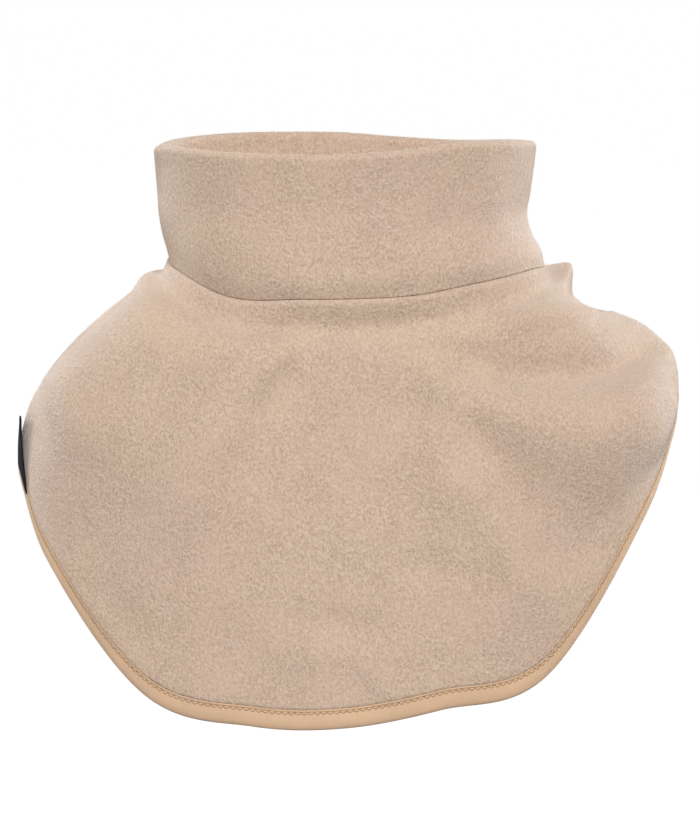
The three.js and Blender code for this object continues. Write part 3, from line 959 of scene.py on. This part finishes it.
class WARMER_OT_collar(bpy.types.Operator):
    """Make the doubled stand-up collar"""

    bl_idname = "warmer.collar"
    bl_label = "Make collar"

    def execute(self, context):
        sizes, colours = context.scene.warmer_sizes, context.scene.warmer_colours
        finish = fleece_finish("collar_fleece", colours.fleece, sizes.nap_size, sizes.nap_height)
        piece = loop_piece("fleece_collar", collar_sections(COLLAR_COLUMNS), finish)
        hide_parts("collar")
        return {"FINISHED"}


class WARMER_OT_stage(bpy.types.Operator):
    """Make the pale floor, the soft studio lights and the camera"""

    bl_idname = "warmer.stage"
    bl_label = "Make stage"

    def execute(self, context):
        sizes, colours = context.scene.warmer_sizes, context.scene.warmer_colours
        self.make_floor(CAD_BOX[0][2] - sizes.floor_drop, colours.floor)
        self.make_lights(context.scene)
        self.make_camera(context.scene)
        return {"FINISHED"}

    def make_floor(self, height, colour):
        """A wide square, level, facing up."""
        x = FLOOR_HALF_WIDTH * np.array((-1, 1, 1, -1))
        y = FLOOR_HALF_WIDTH * np.array((-1, -1, 1, 1))
        corners = point(x, y, height) / MM
        floor = mesh_piece("floor", corners, np.array([[0, 1, 2, 3]]), floor_finish("floor", colour))

    def make_lights(self, scene):
        """An even white world, a large lamp in front above, and two behind at the sides."""
        world = bpy.data.worlds.new("studio")
        world.use_nodes = True
        background = world.node_tree.nodes["Background"]
        background.inputs["Color"].default_value = (1.0, 1.0, 1.0, 1.0)
        background.inputs["Strength"].default_value = WORLD_STRENGTH
        scene.world = world
        scene.view_settings.view_transform = "Standard"
        for name, place, power in LAMPS:
            light = bpy.data.lights.new(name, "AREA")
            light.shape = "DISK"
            light.size = LAMP_WIDTH
            light.energy = power
            lamp = bpy.data.objects.new(name, light)
            scene.collection.objects.link(lamp)
            self.aim(lamp, np.array(place), LAMP_TARGET)

    def make_camera(self, scene):
        """Looks down on the middle of the neck warmer from in front and a little above, as in the photo."""
        camera = bpy.data.cameras.new("camera")
        camera.sensor_width = CAMERA_SENSOR
        camera.lens = CAMERA_FOCAL_SHARE * CAMERA_SENSOR
        camera.clip_start, camera.clip_end = 0.1, 200
        lens = bpy.data.objects.new("camera", camera)
        scene.collection.objects.link(lens)
        away = CAMERA_DISTANCE * np.array((0, -math.cos(CAMERA_RISE), math.sin(CAMERA_RISE)))
        self.aim(lens, CAMERA_TARGET + away, CAMERA_TARGET)
        scene.camera = lens

    def aim(self, thing, place, target):
        """Puts a lamp or camera at a place, looking at a target with its top up."""
        thing.location = place
        thing.rotation_euler = Vector(target - place).to_track_quat("-Z", "Y").to_euler()


STEPS = (WARMER_OT_hem, WARMER_OT_tab, WARMER_OT_yoke, WARMER_OT_collar, WARMER_OT_stage)


class WARMER_PT_panel(bpy.types.Panel):
    """Lists the steps that make the neck warmer, with its sizes and colours"""

    bl_idname = "WARMER_PT_panel"
    bl_label = "Neck warmer"
    bl_space_type = "VIEW_3D"
    bl_region_type = "UI"
    bl_category = "Neck warmer"

    def draw(self, context):
        for group in (context.scene.warmer_sizes, context.scene.warmer_colours):
            for name in group.__annotations__:
                self.layout.prop(group, name)
        for step in STEPS:
            self.layout.operator(step.bl_idname)


CLASSES = (WARMER_PG_sizes, WARMER_PG_colours, *STEPS, WARMER_PT_panel)


def register():
    for cls in CLASSES:
        bpy.utils.register_class(cls)
    bpy.types.Scene.warmer_sizes = bpy.props.PointerProperty(type=WARMER_PG_sizes)
    bpy.types.Scene.warmer_colours = bpy.props.PointerProperty(type=WARMER_PG_colours)


def unregister():
    del bpy.types.Scene.warmer_colours
    del bpy.types.Scene.warmer_sizes
    for cls in reversed(CLASSES):
        bpy.utils.unregister_class(cls)


def main():
    register()
    bpy.ops.warmer.hem()
    bpy.ops.warmer.tab()
    bpy.ops.warmer.yoke()
    bpy.ops.warmer.collar()
    bpy.ops.warmer.stage()


if __name__ == "__main__":
    main()
